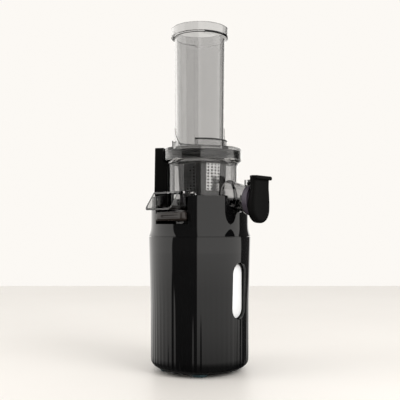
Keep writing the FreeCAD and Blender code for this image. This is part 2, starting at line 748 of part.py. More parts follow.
def strainer_mesh():
    sheet = strainer_wall(-0.7, 1.3, window_low, window_top)
    panel = sheet.common(sector(window_low, window_top, window_arc, -bowl_offset))
    holes = []
    for row in range(hole_rows):
        height = window_low + 3.0 + row * (window_top - window_low - 5.8) / (hole_rows - 1)
        for column in range(hole_columns):
            turn = (column - (hole_columns - 1) / 2) * window_arc * 0.28
            hole = bar(-hole_size / 2, hole_size / 2, -35, -20, height - hole_size / 2, height + hole_size / 2)
            holes.append(turned(moved(hole, 0, -bowl_offset, 0), turn, bowl_axis))
    panel = panel.cut(holes)
    return Part.Compound(around(panel, window_count, bowl_axis, window_turn))


def auger():
    """Tapered core with two helical flights that end just inside the strainer."""
    core = lathe([(0, auger_low), (16.6, auger_low), (17.4, 186.0), ((17.6, 204.0), (19.2, 226.0)),
                  (20.0, 232.0), (17.0, 235.6), (6.0, auger_high), (0, auger_high)], bowl_axis)
    height = 44.0
    pitch = 40.0
    low = auger_low + 1.2
    slope = (strainer_high_radius - strainer_low_radius) / (strainer_high - strainer_low)
    tip_radius = strainer_low_radius - 3.1
    root_radius = 14.0
    thickness = 2.6
    angle = math.degrees(math.atan(slope))

    def helix(radius, start):
        curve = Part.makeHelix(pitch, height, radius, angle)
        return moved(curve, bowl_axis.x, bowl_axis.y, start)

    inner_low = helix(root_radius, low)
    outer_low = helix(tip_radius, low)
    inner_high = helix(root_radius, low + thickness * 1.6)
    outer_high = helix(tip_radius, low + thickness)
    faces = [Part.makeRuledSurface(inner_low, outer_low), Part.makeRuledSurface(outer_low, outer_high),
             Part.makeRuledSurface(outer_high, inner_high), Part.makeRuledSurface(inner_high, inner_low)]
    for end in (0, -1):
        corners = [wire.OrderedVertexes[end].Point for wire in (inner_low, outer_low, outer_high, inner_high)]
        faces.append(Part.Face(Part.makePolygon(corners + [corners[0]])))
    shell = Part.Shell([face for piece in faces for face in piece.Faces])
    flight = Part.Solid(shell)
    if flight.Volume < 0:
        flight.reverse()
    body = core.fuse([flight, turned(flight, 180, bowl_axis)])
    body = body.cut(cylinder(hub_radius + 0.8, auger_low - 1, 187.0, bowl_axis))
    body = body.cut(cylinder(8.6, 180, 206.0, bowl_axis))
    return body


def auger_drive_socket():
    sleeve = cylinder(8.6, 187.0, 206.0, bowl_axis)
    return sleeve.cut(hexagon(hex_flats + 0.16, 180, 198.0, bowl_axis))


def bowl_hub_seal():
    """Lip seal in the bowl's hub; it clears the turning shaft."""
    return ring(7.6, 6.1, 180.0, 185.4, bowl_axis)


def lid():
    plate = cylinder(lid_radius, lid_plate, lid_top, bowl_axis)
    skirt = ring(lid_radius, rim_radius + 0.5, lid_low, lid_plate, bowl_axis)
    hold_down = ring(strainer_high_radius - 0.4, strainer_high_radius - 3.0, strainer_high + 0.4, lid_plate, bowl_axis)
    body = plate.fuse([skirt, hold_down])
    body = body.cut(cylinder(tube_low_radius - tube_wall - 0.3, lid_plate - 1, lid_top + 1))
    # Two collar hooks take the lugs of the feed tube.
    collar = ring(collar_radius, collar_inner, lid_top, collar_top)
    hook = collar.common(sector(lid_top, collar_top, 104.0))
    hooks = [turned(hook, turn) for turn in (9.0, 189.0)]
    body = body.fuse(hooks)
    return body


def lid_magnet():
    return turned(cylinder(1.9, lid_top, lid_top + 1.8, Vector(0, -38.2 - bowl_offset, 0)), 154.0, bowl_axis)


def lid_seal():
    return ring(rim_radius - 0.2, 36.0, rim_top + 0.2, lid_plate - 0.3, bowl_axis)


def tube_seal():
    return ring(tube_low_radius + 1.6, tube_low_radius - tube_wall + 0.2, lid_top + 0.1, tube_low - 0.1)


def feed_tube():
    wall = tube_wall
    outer = [(0, tube_low), (tube_low_radius, tube_low), (tube_high_radius, hopper_low),
             (hopper_radius - 0.8, hopper_low), (hopper_radius, hopper_low + 0.8),
             (hopper_radius, tube_top - 0.6), (hopper_radius - 0.6, tube_top), (0, tube_top)]
    inner = [(0, tube_low - 1), (tube_low_radius - wall, tube_low - 1), (tube_high_radius - wall, hopper_low + 2.2),
             (hopper_radius - 1.9, hopper_low + 4.6), (hopper_radius - 1.9, tube_top + 1), (0, tube_top + 1)]
    tube = lathe(outer).cut(lathe(inner))
    # Left half of the hopper's underside is a step higher.
    step = ring(hopper_radius + 1, tube_high_radius, hopper_low - 1, hopper_low + 1.8)
    tube = tube.cut(turned(step.common(bar(-40, 0, -40, 40, 370, 390)), -41.0))
    rib = bar(-0.6, 0.6, -tube_low_radius + 0.6, -tube_low_radius + wall + 0.6, tube_low, hopper_low)
    rib = rib.common(lathe([(0, tube_low), (tube_low_radius - 0.8, tube_low), (tube_high_radius - 0.8, hopper_low),
                            (0, hopper_low)]))
    tube = tube.fuse(turned(rib, 65.0))
    # Bayonet lugs: triangular pads, one each side, that fall off towards the hooks.
    pads = []
    for turn in (118.0, 298.0):
        pad = ring(tube_low_radius + 1.0, tube_low_radius - 1.0, tube_low, 276.0)
        pad = pad.common(sector(tube_low, 276.0, 44.0))
        slope = Part.Face(Part.makePolygon([
            Vector(14, -60, 254.0), Vector(-14, -60, 276.0), Vector(14, -60, 280.0),
            Vector(14, -60, 254.0)])).extrude(Vector(0, 60, 0))
        pads.append(turned(pad.cut(slope), turn))
    return tube.fuse(pads)


PIECES = [base_housing, neck_shroud, interlock_tower, reed_switch, bottom_cover, bottom_frame, rubber_feet,
          bottom_screws, switch_bezel, switch_body, rocker_pin, rocker_switch, power_board, cord_gland,
          motor_can, stator_magnets, motor_end_cap, carbon_brushes, motor_bushes, motor_screws,
          motor_shaft, armature_core, armature_windings, commutator, motor_fan, motor_pinion,
          gearbox_base, gearbox_cover, gearbox_screws, neck_screws, gear_axle_pins, first_reduction_gear,
          second_reduction_gear, output_gear, drive_shaft, shaft_bearings, shaft_seal,
          juice_bowl, cap_pin, juice_cap, cap_seal, pulp_plug, strainer_frame, strainer_mesh,
          auger, auger_drive_socket, bowl_hub_seal, lid, lid_magnet, lid_seal, tube_seal, feed_tube]

os.makedirs("parts", exist_ok=True)
for piece in PIECES:
    save(piece.__name__, piece())
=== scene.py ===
import json
import math
import bmesh
import bpy
from mathutils import Matrix, Vector


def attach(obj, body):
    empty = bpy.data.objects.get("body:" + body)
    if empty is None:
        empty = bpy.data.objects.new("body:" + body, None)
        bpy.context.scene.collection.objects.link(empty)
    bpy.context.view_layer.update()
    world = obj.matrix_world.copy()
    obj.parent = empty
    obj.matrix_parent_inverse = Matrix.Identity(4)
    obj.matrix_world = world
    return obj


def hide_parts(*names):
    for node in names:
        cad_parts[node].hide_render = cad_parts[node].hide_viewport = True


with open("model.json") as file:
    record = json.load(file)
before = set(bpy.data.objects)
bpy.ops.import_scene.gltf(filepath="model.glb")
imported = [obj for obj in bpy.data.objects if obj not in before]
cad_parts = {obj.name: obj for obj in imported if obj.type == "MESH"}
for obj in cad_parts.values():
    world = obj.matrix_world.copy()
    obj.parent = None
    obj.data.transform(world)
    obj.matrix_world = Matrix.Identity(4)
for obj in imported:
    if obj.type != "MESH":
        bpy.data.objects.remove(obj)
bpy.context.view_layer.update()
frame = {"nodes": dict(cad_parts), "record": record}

# The viewpoint: a long lens a little above the middle of the motor base, looking level from the
# left of the front, so the chute is seen from below and the foot of the base from above.
view_turn = math.radians(-51.0)
eye_distance = 0.736
eye_height = 0.1658
camera_data = bpy.data.cameras.new("camera")
camera_data.sensor_width = 36.0
camera_data.lens = 57.6
camera_data.shift_x = 0.0007
camera_data.shift_y = 0.0608
camera = bpy.data.objects.new("camera", camera_data)
camera.location = (math.sin(view_turn) * eye_distance, -math.cos(view_turn) * eye_distance, eye_height)
camera.rotation_euler = (math.radians(90), 0, view_turn)
bpy.context.scene.collection.objects.link(camera)
bpy.context.scene.camera = camera
bpy.context.scene.view_settings.view_transform = "Standard"


# Studio: a pale room. Gloss and clear plastic see it with two dark flags, one at the front left
# and one at the back right, which draw the long black bands on the base.
def soft_step(nodes, links, value, low, high):
    ramp = nodes.new("ShaderNodeMapRange")
    ramp.interpolation_type = "SMOOTHSTEP"
    ramp.inputs["From Min"].default_value = low
    ramp.inputs["From Max"].default_value = high
    links.new(value, ramp.inputs["Value"])
    return ramp.outputs["Result"]


def combine(nodes, links, operation, first, second):
    node = nodes.new("ShaderNodeMath")
    node.operation = operation
    for socket, value in zip(node.inputs, (first, second)):
        if isinstance(value, (int, float)):
            socket.default_value = value
        else:
            links.new(value, socket)
    return node.outputs[0]


world = bpy.data.worlds.new("studio")
bpy.context.scene.world = world
world.use_nodes = True
wn = world.node_tree.nodes
wl = world.node_tree.links
wn.clear()
direction = wn.new("ShaderNodeTexCoord").outputs["Generated"]
turned = wn.new("ShaderNodeVectorRotate")
turned.rotation_type = "Z_AXIS"
turned.inputs["Angle"].default_value = -view_turn
wl.new(direction, turned.inputs["Vector"])
split = wn.new("ShaderNodeSeparateXYZ")
wl.new(turned.outputs[0], split.inputs[0])
# A bearing of 0 looks back at the camera; it grows to the right of it, in degrees.
ahead = combine(wn, wl, "MULTIPLY", split.outputs["Y"], -1.0)
bearing = combine(wn, wl, "ARCTAN2", split.outputs["X"], ahead)
bearing = combine(wn, wl, "MULTIPLY", bearing, 180 / math.pi)


def flag(low, high, soft):
    rise = soft_step(wn, wl, bearing, low - soft, low + soft)
    fall = soft_step(wn, wl, bearing, high - soft, high + soft)
    return combine(wn, wl, "SUBTRACT", rise, fall)


rays = wn.new("ShaderNodeLightPath")
inside = combine(wn, wl, "MULTIPLY", flag(-104, -60, 2), rays.outputs["Is Transmission Ray"])
dark = combine(wn, wl, "MAXIMUM", combine(wn, wl, "MAXIMUM", flag(-64, -6, 1.2), flag(106, 150, 1.5)), inside)
lit = combine(wn, wl, "SUBTRACT", 1.0, combine(wn, wl, "MULTIPLY", dark, 0.95))
climb = soft_step(wn, wl, split.outputs["Z"], -0.36, -0.03)
shine = wn.new("ShaderNodeMath")
shine.operation = "MULTIPLY_ADD"
wl.new(climb, shine.inputs[0])
shine.inputs[1].default_value = 1.45
shine.inputs[2].default_value = 0.06
strength = combine(wn, wl, "MULTIPLY", lit, shine.outputs[0])
room = wn.new("ShaderNodeBackground")
room.inputs["Color"].default_value = (0.97, 0.95, 0.92, 1)
wl.new(strength, room.inputs["Strength"])
fill = wn.new("ShaderNodeBackground")
fill.inputs["Color"].default_value = (0.97, 0.95, 0.92, 1)
fill.inputs["Strength"].default_value = 0.72
backdrop = wn.new("ShaderNodeBackground")
backdrop.inputs["Color"].default_value = (0.973, 0.945, 0.905, 1)
behind = soft_step(wn, wl, combine(wn, wl, "ABSOLUTE", bearing, 0.0), 150, 155)
straight = combine(wn, wl, "MULTIPLY", rays.outputs["Is Transmission Ray"], behind)
pick_gloss = wn.new("ShaderNodeMixShader")
bent = combine(wn, wl, "MAXIMUM", rays.outputs["Is Glossy Ray"], rays.outputs["Is Transmission Ray"])
wl.new(bent, pick_gloss.inputs[0])
wl.new(fill.outputs[0], pick_gloss.inputs[1])
wl.new(room.outputs[0], pick_gloss.inputs[2])
seen = wn.new("ShaderNodeMixShader")
wl.new(combine(wn, wl, "MAXIMUM", rays.outputs["Is Camera Ray"], straight), seen.inputs[0])
wl.new(pick_gloss.outputs[0], seen.inputs[1])
wl.new(backdrop.outputs[0], seen.inputs[2])
out = wn.new("ShaderNodeOutputWorld")
wl.new(seen.outputs[0], out.inputs["Surface"])


def softbox(name, turn, distance, height, size, power):
    data = bpy.data.lights.new(name, "AREA")
    data.energy = power
    data.size = size
    lamp = bpy.data.objects.new(name, data)
    angle = view_turn + math.radians(turn)
    lamp.location = (math.sin(angle) * distance, -math.cos(angle) * distance, height)
    aim = Vector((0, 0, 0.18)) - lamp.location
    lamp.rotation_euler = aim.to_track_quat("-Z", "Y").to_euler()
    lamp.visible_glossy = False
    lamp.visible_transmission = False
    bpy.context.scene.collection.objects.link(lamp)


softbox("key", 48, 1.1, 0.75, 0.7, 9.0)
softbox("side", -78, 1.0, 0.7, 0.6, 3.5)

# Table: one plain pale slab whose far edge lies square to the view.
slab = bmesh.new()
bmesh.ops.create_grid(slab, x_segments=1, y_segments=1, size=0.984)
bmesh.ops.rotate(slab, verts=slab.verts, cent=(0, 0, 0), matrix=Matrix.Rotation(view_turn, 3, "Z"))
table_mesh = bpy.data.meshes.new("table")
slab.to_mesh(table_mesh)
slab.free()
table = bpy.data.objects.new("table", table_mesh)
bpy.context.scene.collection.objects.link(table)
table_look = bpy.data.materials.new("table_top")
table_look.use_nodes = True
tn = table_look.node_tree.nodes
tl = table_look.node_tree.links
top = tn["Principled BSDF"]
top.inputs["Roughness"].default_value = 0.45
cloud = tn.new("ShaderNodeTexNoise")
cloud.inputs["Scale"].default_value = 2.2
cloud.inputs["Detail"].default_value = 4
place = tn.new("ShaderNodeTexCoord")
tl.new(place.outputs["Object"], cloud.inputs["Vector"])
tone = tn.new("ShaderNodeMix")
tone.data_type = "RGBA"
tone.inputs["A"].default_value = (0.80, 0.765, 0.72, 1)
tone.inputs["B"].default_value = (0.90, 0.87, 0.83, 1)
tl.new(cloud.outputs["Fac"], tone.inputs["Factor"])
tl.new(tone.outputs["Result"], top.inputs["Base Color"])
table.visible_glossy = False
table.data.materials.append(table_look)


# Base housing: an injection-moulded tube of polished black plastic. Sixty shallow flutes run up
# from its rounded foot and fade out below the shoulder; the control recess is cut in the front.
mm = 0.001
control_height = 92.8


def arc(centre, radius, start, end, steps):
    """Points of a round corner, angles in degrees from the outward direction."""
    angles = [math.radians(start + (end - start) * i / steps) for i in range(steps + 1)]
    return [(centre[0] + radius * math.cos(a), centre[1] + radius * math.sin(a)) for a in angles]


def lathe(profile, steps, centre_y=0.0):
    """Spin a closed outline of (radius, height) in millimetres about a vertical axis."""
    mesh = bmesh.new()
    verts = [mesh.verts.new((radius * mm, centre_y * mm, height * mm)) for radius, height in profile]
    edges = [mesh.edges.new((verts[i], verts[(i + 1) % len(verts)])) for i in range(len(verts))]
    bmesh.ops.spin(mesh, geom=verts + edges, cent=(0, centre_y * mm, 0), axis=(0, 0, 1),
                   angle=2 * math.pi, steps=steps, use_merge=True)
    bmesh.ops.remove_doubles(mesh, verts=mesh.verts, dist=1e-6)
    bmesh.ops.recalc_face_normals(mesh, faces=mesh.faces)
    return mesh


def prism(outline, shift):
    """A flat outline of points in millimetres, pushed out along one direction."""
    mesh = bmesh.new()
    face = mesh.faces.new([mesh.verts.new([value * mm for value in point]) for point in outline])
    grown = bmesh.ops.extrude_face_region(mesh, geom=[face])["geom"]
    moved = [item for item in grown if isinstance(item, bmesh.types.BMVert)]
    bmesh.ops.translate(mesh, verts=moved, vec=[value * mm for value in shift])
    bmesh.ops.recalc_face_normals(mesh, faces=mesh.faces)
    return mesh


def carve(mesh, cutter, operation="DIFFERENCE"):
    """Boolean of two closed bmeshes; both are used up and a new one comes back."""
    objects = []
    for part in (mesh, cutter):
        data = bpy.data.meshes.new("carving")
        part.to_mesh(data)
        part.free()
        item = bpy.data.objects.new("carving", data)
        bpy.context.scene.collection.objects.link(item)
        objects.append(item)
    modifier = objects[0].modifiers.new("cut", "BOOLEAN")
    modifier.operation = operation
    modifier.solver = "EXACT"
    modifier.object = objects[1]
    bpy.context.view_layer.update()
    shape = objects[0].evaluated_get(bpy.context.evaluated_depsgraph_get()).to_mesh()
    result = bmesh.new()
    result.from_mesh(shape)
    for item in objects:
        bpy.data.objects.remove(item)
    bmesh.ops.remove_doubles(result, verts=result.verts, dist=2e-6)
    return result


def finish_mesh(mesh, name, material, body, nodes, sharp=35):
    """Turn a bmesh into a piece that rides on a body; edges sharper than the angle stay crisp."""
    data = bpy.data.meshes.new(name)
    limit = math.radians(sharp)
    for face in mesh.faces:
        face.smooth = True
    for edge in mesh.edges:
        edge.smooth = len(edge.link_faces) == 2 and edge.calc_face_angle(0.0) < limit
    mesh.to_mesh(data)
    mesh.free()
    piece = bpy.data.objects.new(name, data)
    bpy.context.scene.collection.objects.link(piece)
    data.materials.append(material)
    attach(piece, body)
    if nodes:
        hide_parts(*nodes)
    return piece


def texture_group(name, outputs):
    """An empty group with a scale and a roughness to set, and the named outputs."""
    group = bpy.data.node_groups.new(name, "ShaderNodeTree")
    for label, value in (("Scale", 900.0), ("Roughness", 0.1), ("Spread", 0.05)):
        socket = group.interface.new_socket(label, in_out="INPUT", socket_type="NodeSocketFloat")
        socket.default_value = value
    for label in outputs:
        group.interface.new_socket(label, in_out="OUTPUT", socket_type="NodeSocketFloat")
    return group, group.nodes.new("NodeGroupInput"), group.nodes.new("NodeGroupOutput")


moulded_grain, given, result = texture_group("moulded_grain", ("Roughness", "Height", "Tint"))
gn = moulded_grain.nodes
gl = moulded_grain.links
spot = gn.new("ShaderNodeTexCoord")
fine = gn.new("ShaderNodeTexNoise")
fine.inputs["Detail"].default_value = 2
broad = gn.new("ShaderNodeTexNoise")
broad.inputs["Scale"].default_value = 38
broad.inputs["Detail"].default_value = 5
gl.new(spot.outputs["Object"], fine.inputs["Vector"])
gl.new(given.outputs["Scale"], fine.inputs["Scale"])
gl.new(spot.outputs["Object"], broad.inputs["Vector"])
spread = combine(gn, gl, "MULTIPLY", broad.outputs["Fac"], given.outputs["Spread"])
gl.new(combine(gn, gl, "ADD", given.outputs["Roughness"], spread), result.inputs["Roughness"])
gl.new(fine.outputs["Fac"], result.inputs["Height"])
gl.new(broad.outputs["Fac"], result.inputs["Tint"])


def finish(name, dark_colour, light_colour, roughness, spread=0.05, relief=0.05, scale=900.0, metallic=0.0,
           clear=0.0, ior=1.5):
    """One finish: two tones mixed by the slow noise, patchy roughness and a fine relief."""
    look = bpy.data.materials.new(name)
    look.use_nodes = True
    nodes = look.node_tree.nodes
    links = look.node_tree.links
    shader = nodes["Principled BSDF"]
    grain = nodes.new("ShaderNodeGroup")
    grain.node_tree = moulded_grain
    for label, value in (("Scale", scale), ("Roughness", roughness), ("Spread", spread)):
        grain.inputs[label].default_value = value
    mix = nodes.new("ShaderNodeMix")
    mix.data_type = "RGBA"
    mix.inputs["A"].default_value = (*dark_colour, 1)
    mix.inputs["B"].default_value = (*light_colour, 1)
    links.new(grain.outputs["Tint"], mix.inputs["Factor"])
    links.new(mix.outputs["Result"], shader.inputs["Base Color"])
    links.new(grain.outputs["Roughness"], shader.inputs["Roughness"])
    bump = nodes.new("ShaderNodeBump")
    bump.inputs["Strength"].default_value = relief
    bump.inputs["Distance"].default_value = 0.00005
    links.new(grain.outputs["Height"], bump.inputs["Height"])
    links.new(bump.outputs["Normal"], shader.inputs["Normal"])
    shader.inputs["Metallic"].default_value = metallic
    shader.inputs["Transmission Weight"].default_value = clear
    shader.inputs["IOR"].default_value = ior
    return look


gloss_black = finish("gloss_black", (0.0028, 0.0028, 0.003), (0.0042, 0.0042, 0.0045), 0.03, 0.02, 0.01)
flutes = 60
flute_foot = 4
flute_middle = 76
flute_top = 116
flute_foot_depth = 0.34
flute_middle_depth = 0.14
recess_radius = 11.8
recess_rise = 19.4
base_outside = [(49.2, 5.0), (50.4, 5.2)] + arc((47.2, 13.4), 8.8, -62, -4, 9)
base_outside += [(56.05, 18), (56.1, 32), (56.25, 52), (56.4, 76), (56.95, 96), (57.5, 116), (58.0, 134),
                 (58.48, 151.6), (58.3, 151.95), (57.9, 152.0)]
base_inside = [(55.9, 152.0), (55.9, 145.6), (55.2, 134), (53.8, 76), (53.4, 15), (51.4, 9.4), (49.2, 7.6)]
shell = lathe(base_outside + base_inside, flutes * 10)
for vert in shell.verts:
    height = vert.co.z / mm
    reach = vert.co.xy.length / mm
    if height < 4.3 or height > 115 or reach < 50 or (height > 8 and reach < 54.5):
        continue
    turn = math.degrees(math.atan2(vert.co.x, -vert.co.y)) - 3.0
    wave = 0.5 + 0.5 * math.cos(math.radians(turn * flutes))
    if height < flute_middle:
        climbed = (height - flute_foot) / (flute_middle - flute_foot)
        deep = flute_foot_depth - (flute_foot_depth - flute_middle_depth) * climbed
    else:
        deep = flute_middle_depth * (flute_top - height) / (flute_top - flute_middle)
    deep *= min(1.0, (height - 4.1) / 4.5)
    vert.co.xy *= 1 - deep * wave / reach
recess = [(x, -70, z) for x, z in arc((0, control_height + recess_rise), recess_radius, 0, 180, 16)]
recess += [(x, -70, z) for x, z in arc((0, control_height - recess_rise), recess_radius, 180, 360, 16)]
shell = carve(shell, prism(recess, (0, 30, 0)))
finish_mesh(shell, "fluted_shell", gloss_black, "base", ["base_housing"], 32)


# Neck: the polished collar on top of the housing. Its shoulder flares out below, and its rim is
# notched for the two spouts; a flat deck inside carries the bowl. Held by four screws.
bowl_y = -4.2
pulp_turn = 96


def turn_mesh(mesh, angle, centre_y=0.0):
    """Turn about a vertical axis, from the front towards -X."""
    bmesh.ops.rotate(mesh, verts=mesh.verts, cent=(0, centre_y * mm, 0),
                     matrix=Matrix.Rotation(math.radians(-angle), 3, "Z"))
    return mesh


neck_outside = [(55.5, 149.2), (55.5, 152.4), (58.4, 152.4), (58.45, 152.7), (57.7, 154.4), (57.0, 156.4),
                (56.4, 158.8), (56.0, 161.6), (55.8, 166), (55.8, 180), (55.8, 196.1), (55.55, 196.7), (55.0, 196.9)]
neck_inside = [(53.6, 196.9), (53.2, 196.5), (53.2, 166.0), (12.0, 166.0), (12.0, 163.0),
               (53.2, 163.0), (53.2, 149.2)]
neck = lathe(neck_outside + neck_inside, 240)
notch = [(x, -80, z) for x, z in arc((0, 196.0), 17.2, 180, 360, 24)] + [(17.2, -80, 220), (-17.2, -80, 220)]
neck = carve(neck, prism(notch, (0, 50, 0)))
gate = [(x, -80, z) for x, z in ((-19.2, 166.0), (25.2, 166.0), (25.2, 220), (-19.2, 220))]
neck = carve(neck, turn_mesh(prism([(x, y + bowl_y, z) for x, y, z in gate], (0, 50, 0)), pulp_turn, bowl_y))
finish_mesh(neck, "neck_collar", gloss_black, "base", ["neck_shroud"], 32)


# Juice bowl: smoked clear plastic, moulded in one with its round juice spout, the square pulp
# duct and the lugs of the cap's hinge. It drops on to the deck and lifts off for cleaning.
spout_mouth = -75
spout_height = 192


def block(low, high, soften=0.0):
    """A box between two corners, its edges rounded."""
    mesh = bmesh.new()
    bmesh.ops.create_cube(mesh, size=1.0)
    for vert in mesh.verts:
        vert.co = [((a + b) / 2 + (b - a) * c) * mm for a, b, c in zip(low, high, vert.co)]
    if soften:
        bmesh.ops.bevel(mesh, geom=mesh.edges[:], offset=soften * mm, segments=3, profile=0.5, affect="EDGES",
                        material=-1, clamp_overlap=True)
    return mesh


def rod(start, end, radius, steps=48):
    """A round bar from one point to another."""
    mesh = bmesh.new()
    start, end = Vector(start) * mm, Vector(end) * mm
    way = end - start
    lift = Matrix.Translation((start + end) / 2) @ way.to_track_quat("Z", "Y").to_matrix().to_4x4()
    bmesh.ops.create_cone(mesh, cap_ends=True, segments=steps, radius1=radius * mm, radius2=radius * mm,
                          depth=way.length, matrix=lift)
    return mesh


def sheared(radius, near, far, near_height, far_height):
    """A round tube along Y whose ends lie in upright planes while its axis falls."""
    mesh = rod((0, near, near_height), (0, far, near_height), radius, 72)
    for vert in mesh.verts:
        vert.co.z += (far_height - near_height) * mm * (vert.co.y / mm - near) / (far - near)
    return mesh


def duct(left, right, low, high, corner, inner, outer_low, outer_high):
    """The pulp duct: a flat-topped channel with round lower corners and a slanted mouth."""
    outline = arc((right - corner, low + corner), corner, 0, -90, 6)
    outline += arc((left + corner, low + corner), corner, 270, 180, 6)
    outline += [(left, high), (right, high)]
    mesh = prism([(x, -inner + bowl_y, z) for x, z in outline], (0, -20, 0))
    for vert in mesh.verts:
        if vert.co.y / mm < -inner + bowl_y - 10:
            height = vert.co.z / mm
            vert.co.y = (bowl_y - outer_low + (outer_low - outer_high) * (height - 181) / 20) * mm
    bmesh.ops.recalc_face_normals(mesh, faces=mesh.faces)
    return turn_mesh(mesh, pulp_turn, bowl_y)


smoked_clear = finish("smoked_clear", (0.60, 0.60, 0.60), (0.66, 0.66, 0.66),
                      0.0, 0.02, 0.004, 300, 0.0, 1.0, 1.49)
bowl_outside = [(0, 166.4), (39.3, 166.4), (39.8, 166.9), (39.8, 231.2), (40.1, 232.6), (40.8, 234.0),
                (41.9, 235.5), (43.4, 236.8), (44.3, 237.5), (44.3, 238.4), (41.2, 238.4), (41.2, 245.6),
                (40.8, 246.0), (0, 246.0)]
bowl = lathe(bowl_outside, 180, bowl_y)
bowl = carve(bowl, sheared(15.5, -38.2, spout_mouth + 0.2, 199.5, spout_height), "UNION")
bowl = carve(bowl, duct(-18, 23.6, 181, 201, 5, 34, 72, 58), "UNION")
bowl = carve(bowl, rod((0, -67.6, spout_height), (0, spout_mouth, spout_height), 16.0, 72), "UNION")
for side in (-1, 1):
    bowl = carve(bowl, block((side * 6.5 - 2, spout_mouth + 0.1, 204.5), (side * 6.5 + 2, -68.6, 213.4)), "UNION")
hollow = [(0, 180.6), (37.0, 180.6), (37.4, 181.0), (37.4, 231.2), (37.8, 233.0), (38.8, 236.2), (38.8, 249), (0, 249)]
bowl = carve(bowl, lathe(hollow, 180, bowl_y))
bowl = carve(bowl, lathe([(0, 160), (37.4, 160), (37.4, 178), (0, 178)], 180, bowl_y))
bowl = carve(bowl, sheared(13.1, -34.0, -80, 200.4, 191.0))
bowl = carve(bowl, duct(-16, 21.6, 183, 199, 4, 30, 80, 66))
port = block((-16, -40.3 + bowl_y, 168.6), (16, -28 + bowl_y, 177.6))
bowl = carve(bowl, turn_mesh(port, pulp_turn, bowl_y))
bowl = carve(bowl, lathe([(0, 174.4), (10, 174.4), (10, 186), (0, 186)], 64, bowl_y), "UNION")
bowl = carve(bowl, lathe([(0, 170), (7.6, 170), (7.6, 190), (0, 190)], 64, bowl_y))
finish_mesh(bowl, "bowl_moulding", smoked_clear, "bowl", ["juice_bowl"], 30)


# Spout bead: the round fillet where the spout leaves the bowl's wall, moulded with the bowl. It
# looks darker than the wall because the plastic is thick there.
smoked_frame = finish("smoked_frame", (0.20, 0.195, 0.195), (0.27, 0.265, 0.26),
                      0.18, 0.1, 0.02, 900, 0.0, 0.55, 1.49)
bead = lathe(arc((15.4, 0), 0.9, 0, 330, 11), 96)
bmesh.ops.rotate(bead, verts=bead.verts, cent=(0, 0, 0), matrix=Matrix.Rotation(math.radians(90), 3, "X"))
bmesh.ops.translate(bead, verts=bead.verts, vec=(0, -42.6 * mm, 198.6 * mm))
finish_mesh(bead, "spout_root_bead", smoked_frame, "bowl", [], 60)


# Lid: smoked clear plate with a skirt over the bowl's rim, a ring that holds the strainer down
# and two collar hooks for the feed tube. The hooks' top edges are a thicker dark bead.
smoked_lid = finish("smoked_lid", (0.38, 0.38, 0.38), (0.44, 0.44, 0.44),
                    0.0, 0.02, 0.004, 300, 0.0, 1.0, 1.49)
smoked_tube = finish("smoked_tube", (0.63, 0.63, 0.63), (0.67, 0.67, 0.67),
                     0.0, 0.02, 0.004, 300, 0.0, 1.0, 1.49)
gloss_black_trim = finish("gloss_black_trim", (0.003, 0.003, 0.003), (0.005, 0.005, 0.005), 0.08, 0.05, 0.02)
lid_outline = [(44.3, 238.9), (44.3, 250.9), (43.7, 251.5), (20, 251.5), (20, 248.3), (25.8, 248.3), (25.8, 238.5),
               (28.4, 238.5), (28.4, 248.3), (41.7, 248.3), (41.7, 238.9)]
lid = lathe(lid_outline, 180, bowl_y)
lid = carve(lid, lathe([(0, 240), (25.4, 240), (25.4, 260), (0, 260)], 120))


def sector(mesh, middle, spread):
    """Keep only the part of a mesh within an angle about the base's axis."""
    half = math.radians(spread / 2)
    for side in (-1, 1):
        normal = Vector((side * math.cos(half), math.sin(half), 0))
        normal.rotate(Matrix.Rotation(-math.radians(middle), 3, "Z"))
        everything = mesh.verts[:] + mesh.edges[:] + mesh.faces[:]
        cut = bmesh.ops.bisect_plane(mesh, geom=everything, plane_co=(0, 0, 0), plane_no=normal,
                                     clear_outer=True)["geom_cut"]
        bmesh.ops.holes_fill(mesh, edges=[item for item in cut if isinstance(item, bmesh.types.BMEdge)])
    bmesh.ops.recalc_face_normals(mesh, faces=mesh.faces)
    return mesh


for name, middle in (("front", 9), ("rear", 189)):
    hook = sector(lathe([(30.2, 251.45), (31.6, 251.3), (31.6, 260.0), (30.2, 260.0)], 240), middle, 104)
    finish_mesh(hook, "collar_hook_" + name, smoked_tube, "lid", [], 40)
    bead = sector(lathe(arc((31.0, 260.6), 0.9, 0, 345, 11), 240), middle, 104)
    finish_mesh(bead, "hook_bead_" + name, gloss_black_trim, "lid", [], 40)
finish_mesh(lid, "lid_moulding", smoked_lid, "lid", ["lid"], 30)


# Feed tube: long smoked clear chute with a wider hopper lip, half of whose underside is a step
# higher, one inner rib and two triangular pads that lock under the lid's hooks.
tube_outside = [(27.9, 252.3), (29.1, 376.6), (32.1, 377.9), (32.6, 378.6), (32.6, 389.0), (32.0, 389.6),
                (31.2, 389.6), (30.7, 389.1), (30.7, 380.6), (26.9, 378.9), (25.7, 252.3)]
tube = lathe(tube_outside, 200)
step = lathe([(29.2, 376.5), (33.5, 376.5), (33.5, 379.3), (29.2, 379.3)], 200)
step = sector(step, 131, 180)
tube = carve(tube, step)
rib = block((-0.6, -27.4, 252.3), (0.6, -25.2, 377.5))
for vert in rib.verts:
    if vert.co.z / mm > 300:
        vert.co.y -= 1.2 * mm
tube = carve(tube, turn_mesh(rib, 65), "UNION")
for middle in (118, 298):
    pad = lathe([(26.9, 252.3), (28.9, 252.3), (28.9, 276), (26.9, 276)], 120)
    pad = sector(pad, middle, 44)
    for vert in pad.verts:
        across = (math.degrees(math.atan2(-vert.co.x, -vert.co.y)) - middle + 180) % 360 - 180
        if vert.co.z / mm > 260:
            vert.co.z = (253.0 + 23.0 * min(1.0, max(0.0, (across + 22) / 44))) * mm
    tube = carve(tube, pad, "UNION")
finish_mesh(tube, "chute_moulding", smoked_tube, "tube", ["feed_tube"], 30)


